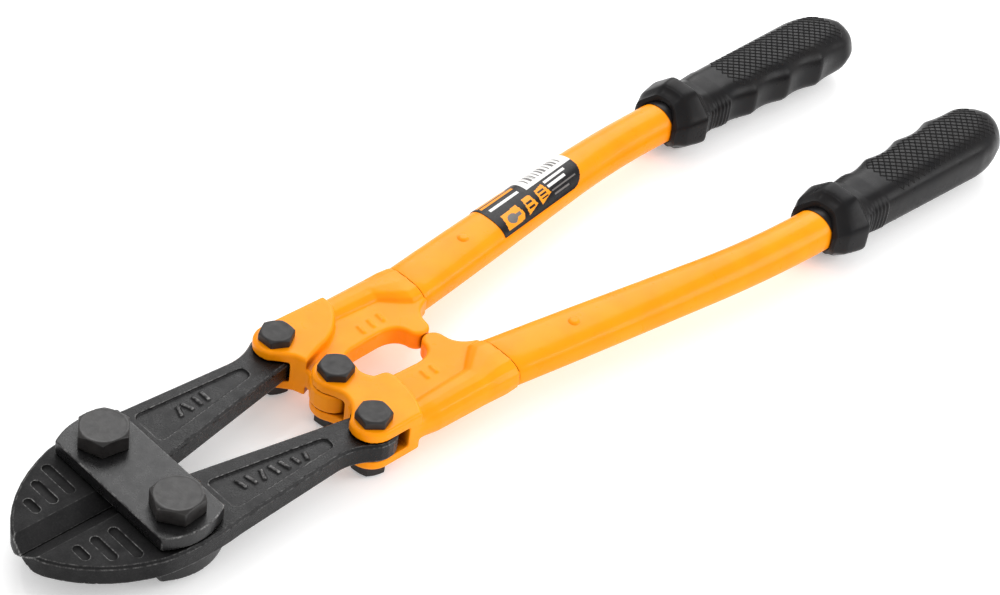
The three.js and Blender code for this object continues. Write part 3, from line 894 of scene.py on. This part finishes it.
BADGES = (                         # corners of the three printed badges: along and across
    ((107.8, -1.4), (117.0, -1.2), (118.0, -5.8), (116.4, -7.8), (106.6, -7.9)),
    ((121.0, -0.9), (125.4, -1.1), (126.2, -6.1), (119.6, -7.7)),
    ((128.6, -1.3), (133.8, -0.6), (135.0, -5.5), (127.8, -7.4)),
)


def inside(u, v, corners):
    """Whether a point is inside a badge, whose corners go round clockwise."""
    ends = corners[1:] + corners[:1]
    return all(
        (b[0] - a[0]) * (v - a[1]) - (b[1] - a[1]) * (u - a[0]) < 0 for a, b in zip(corners, ends)
    )


PRINTED_LINES = (                  # across, start, end, ink, half width
    (1.8, 106.6, 123.6, WHITE, 0.5), (5.2, 105, 124, ORANGE, 0.8), (7.4, 105, 122, ORANGE, 0.7),
    (-0.9, 135.4, 148.4, WHITE, 0.55), (-3.0, 135.6, 146.4, WHITE, 0.55),
    (-5.3, 135.8, 150.6, GREY, 0.3), (-6.9, 136.0, 145.2, GREY, 0.3),
)


def ink_at(u, v):
    """Colour of the print at u along the label and v across it, outer side positive."""
    if inside(u, v, BADGES[0]):
        disc = math.hypot((u - 111.6) / 2.6, (v + 4.8) / 2.1) < 1
        return GREY if disc or (abs(v + 4.8) < 0.8 and 111 < u < 116.4) else ORANGE
    if inside(u, v, BADGES[1]):
        bar = abs(u - 123) < 1.7 and (abs(v + 3.4) < 0.5 or abs(v + 5.6) < 0.5)
        return BLACK if bar else ORANGE
    if inside(u, v, BADGES[2]):
        bar = abs(u - 131.3) < 1.8 and min(abs(v + k) for k in (2.6, 4.1, 5.6)) < 0.35
        return BLACK if bar else ORANGE
    if u > 127 and v > 0.5:
        stripe = math.sin(u * 2.9) + 0.7 * math.sin(u * 6.7 + 1)
        return GREY if 2.2 < v < 10 and 130 < u < 151.5 and stripe > 0.1 else WHITE
    for height, start, end, ink, half in PRINTED_LINES:
        if abs(v - height) < half and start < u < end:
            return ink
    return BLACK


def in_label(u, v):
    """The film's outline: square in front, rounded at the inner rear corner."""
    radius = LABEL["corner"]
    rear, inner = LABEL["end_x"] - radius, LABEL_EDGE["inner"] + radius
    return u < rear or v > inner or math.hypot(u - rear, v - inner) < radius


def label(name):
    """Thin film: cut and printed flat with plain shapes, then wrapped on tube A."""
    put_down()
    bpy.ops.mesh.primitive_grid_add(
        x_subdivisions=LABEL_CELLS[0], y_subdivisions=LABEL_CELLS[1], size=1,
    )
    film = bpy.context.object
    for vertex in film.data.vertices:
        vertex.co.x = mix(LABEL["start_x"], LABEL["end_x"], vertex.co.x + 0.5)
        vertex.co.y = mix(LABEL_EDGE["inner"], LABEL_EDGE["outer"], vertex.co.y + 0.5)
    for ink in LABEL_INKS:
        film.data.materials.append(ink)
    for face in film.data.polygons:
        face.material_index = ink_at(face.center.x, face.center.y)
    edit(film)
    pick(film, "FACE", lambda f: not in_label(*f.calc_center_median().xy))
    bpy.ops.mesh.delete(type="FACE")
    put_down()
    for vertex in film.data.vertices:
        u, v = vertex.co.xy
        across, up = tube_point(u, girth(u, v), LABEL["lift"])
        vertex.co = at(u, axis_y(u) + across, up)
    settle(film, name)
    turn_outwards(film)
    work(film, "SOLIDIFY", thickness=LABEL["thickness"] * MM, offset=1)
    shade(film, 60)
    return film


film = label("label_film_printed")
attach(film, "handle_A")
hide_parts("label")


# ---- Floor, light and camera --------------------------------------------------------------
LAMPS = (                          # name, place in metres, size, power
    ("key_softbox", (1.29, 1.10, 1.40), 1.5, 26.0),
    ("side_softbox", (1.05, -1.15, 0.90), 0.8, 12.0),
    ("sparkle_lamp", (-0.15, 0.75, 1.30), 0.1, 1.5),
)
AIR = 0.9                          # strength of the even light all round
FLOOR = {"size": 8, "drop": 0.0002}                # in metres, the drop below the tool


def studio():
    """Pale floor, even light and soft lamps that look at the middle of the tool."""
    put_down()
    bpy.ops.mesh.primitive_plane_add(size=FLOOR["size"], location=(0, 0, -FLOOR["drop"]))
    floor = bpy.context.object
    floor.name = "studio_floor"
    floor.data.materials.append(dull_ground("floor_paper"))

    world = bpy.data.worlds.new("studio_air")
    bpy.context.scene.world = world
    world.use_nodes = True
    background = world.node_tree.nodes["Background"]
    background.inputs["Color"].default_value = (1, 1, 1, 1)
    background.inputs["Strength"].default_value = AIR
    for name, place, size, power in LAMPS:
        bpy.ops.object.light_add(type="AREA", location=place)
        lamp = bpy.context.object
        lamp.name = name
        lamp.data.shape = "SQUARE"
        lamp.data.size = size
        lamp.data.energy = power
        lamp.rotation_euler = (-Vector(place)).to_track_quat("-Z", "Y").to_euler()


CAMERA = {                         # angles in degrees
    "place": (-431.4, -436.7, 558.3), "azimuth": -49.49, "elevation": 39.63, "roll": 8.64,
    "lens": 86.4,
}


def camera():
    """Camera high in front of the jaws, on side B."""
    data = bpy.data.cameras.new("studio_camera")
    view = bpy.data.objects.new("studio_camera", data)
    bpy.context.scene.collection.objects.link(view)
    data.sensor_width = 36
    data.lens = CAMERA["lens"]
    data.clip_start, data.clip_end = 0.01, 50
    azimuth, elevation, roll = (math.radians(CAMERA[k]) for k in ("azimuth", "elevation", "roll"))
    away = math.cos(elevation)
    back = Vector((math.sin(azimuth) * away, -math.cos(azimuth) * away, math.sin(elevation)))
    level = (-back).cross(Vector((0, 0, 1))).normalized()
    upright = level.cross(-back)
    axes = Matrix((level, upright, back)).transposed()
    view.rotation_euler = (axes @ Euler((0, 0, roll)).to_matrix()).to_euler()
    view.location = at(*CAMERA["place"])
    bpy.context.scene.camera = view


studio()
camera()
bpy.context.scene.view_settings.view_transform = "Standard"
